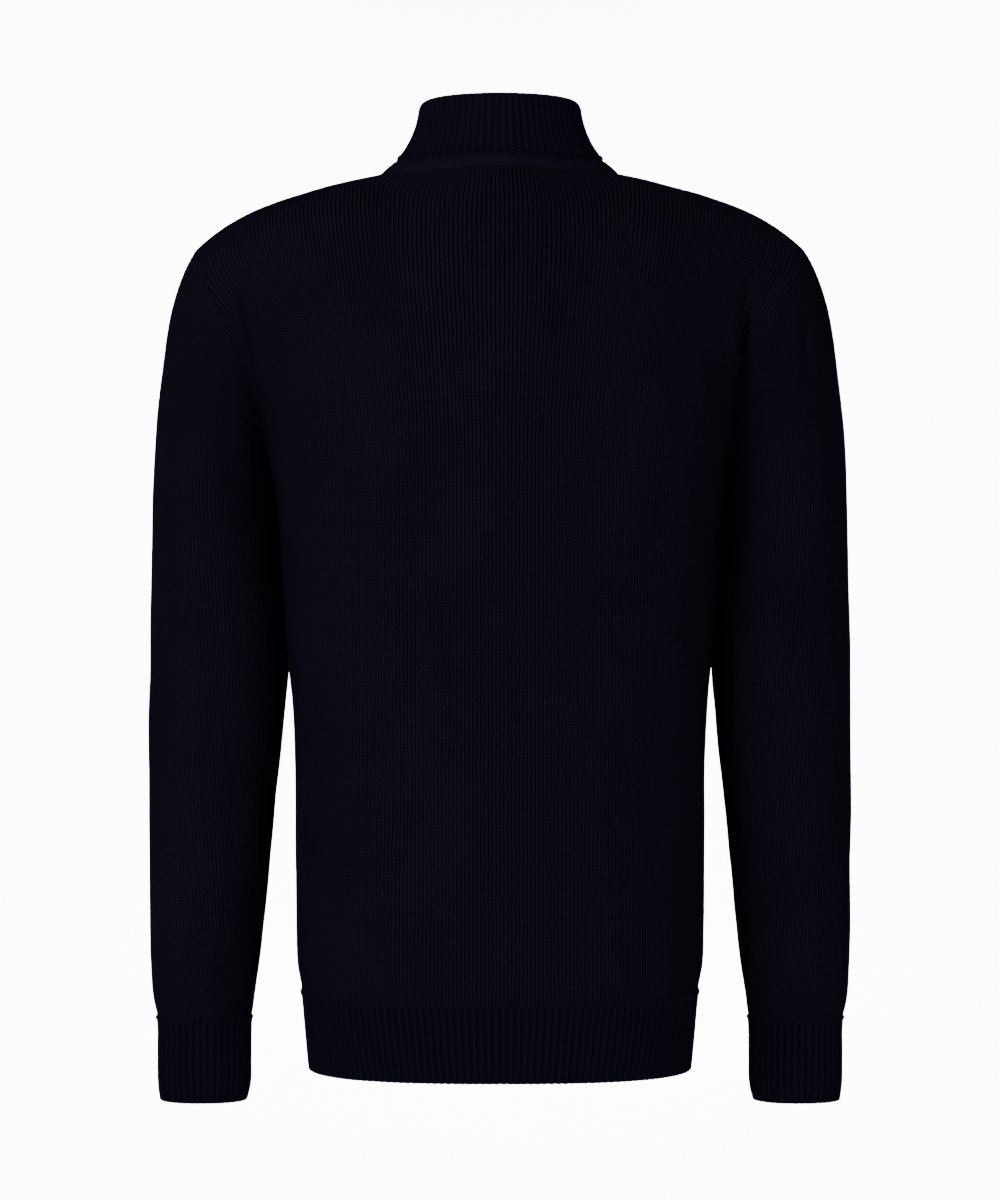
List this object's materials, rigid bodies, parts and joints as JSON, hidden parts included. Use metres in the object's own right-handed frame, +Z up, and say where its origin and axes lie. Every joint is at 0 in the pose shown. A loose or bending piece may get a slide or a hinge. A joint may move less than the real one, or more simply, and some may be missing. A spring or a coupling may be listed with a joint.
{
  "type": "ribbed zip cardigan, worn form",
  "caption": "Fine knit zip cardigan with a ribbed stand collar, hem and cuffs, in its hollow worn form.",
  "frame": {"origin": "middle of the neck opening, midway between the two neck points, where the wearer's shoulders carry it", "axes": "+Z up, -Y towards the zip front, +X towards the wearer's left"},
  "size_m": [0.552, 0.2744, 0.7825],
  "materials": {
    "plain_knit": "dark navy plain knit",
    "rib_knit": "dark navy rib knit",
    "zip_tape": "dark navy woven tape",
    "zip_metal": "dark gunmetal plating"
  },
  "bodies": {
    "garment": {"back": "plain_knit", "front_left": "plain_knit", "front_right": "plain_knit", "sleeve_left": "plain_knit", "sleeve_right": "plain_knit", "collar": "rib_knit", "hem_back": "rib_knit", "hem_front_left": "rib_knit", "hem_front_right": "rib_knit", "cuff_left": "rib_knit", "cuff_right": "rib_knit", "zip_tape_left": "zip_tape", "zip_tape_right": "zip_tape", "zip_chain": "zip_metal", "zip_box": "zip_metal", "zip_stop_left": "zip_metal", "zip_stop_right": "zip_metal", "zip_slider": "zip_metal"},
    "pull": {"zip_pull": "zip_metal"}
  },
  "joints": [
    {"name": "pull_swing", "type": "hinge", "parent": "garment", "child": "pull", "pos_m": [0, -0.09209, -0.01495], "axis": [-1, 0, 0], "range_deg": [0, 150]}
  ]
}
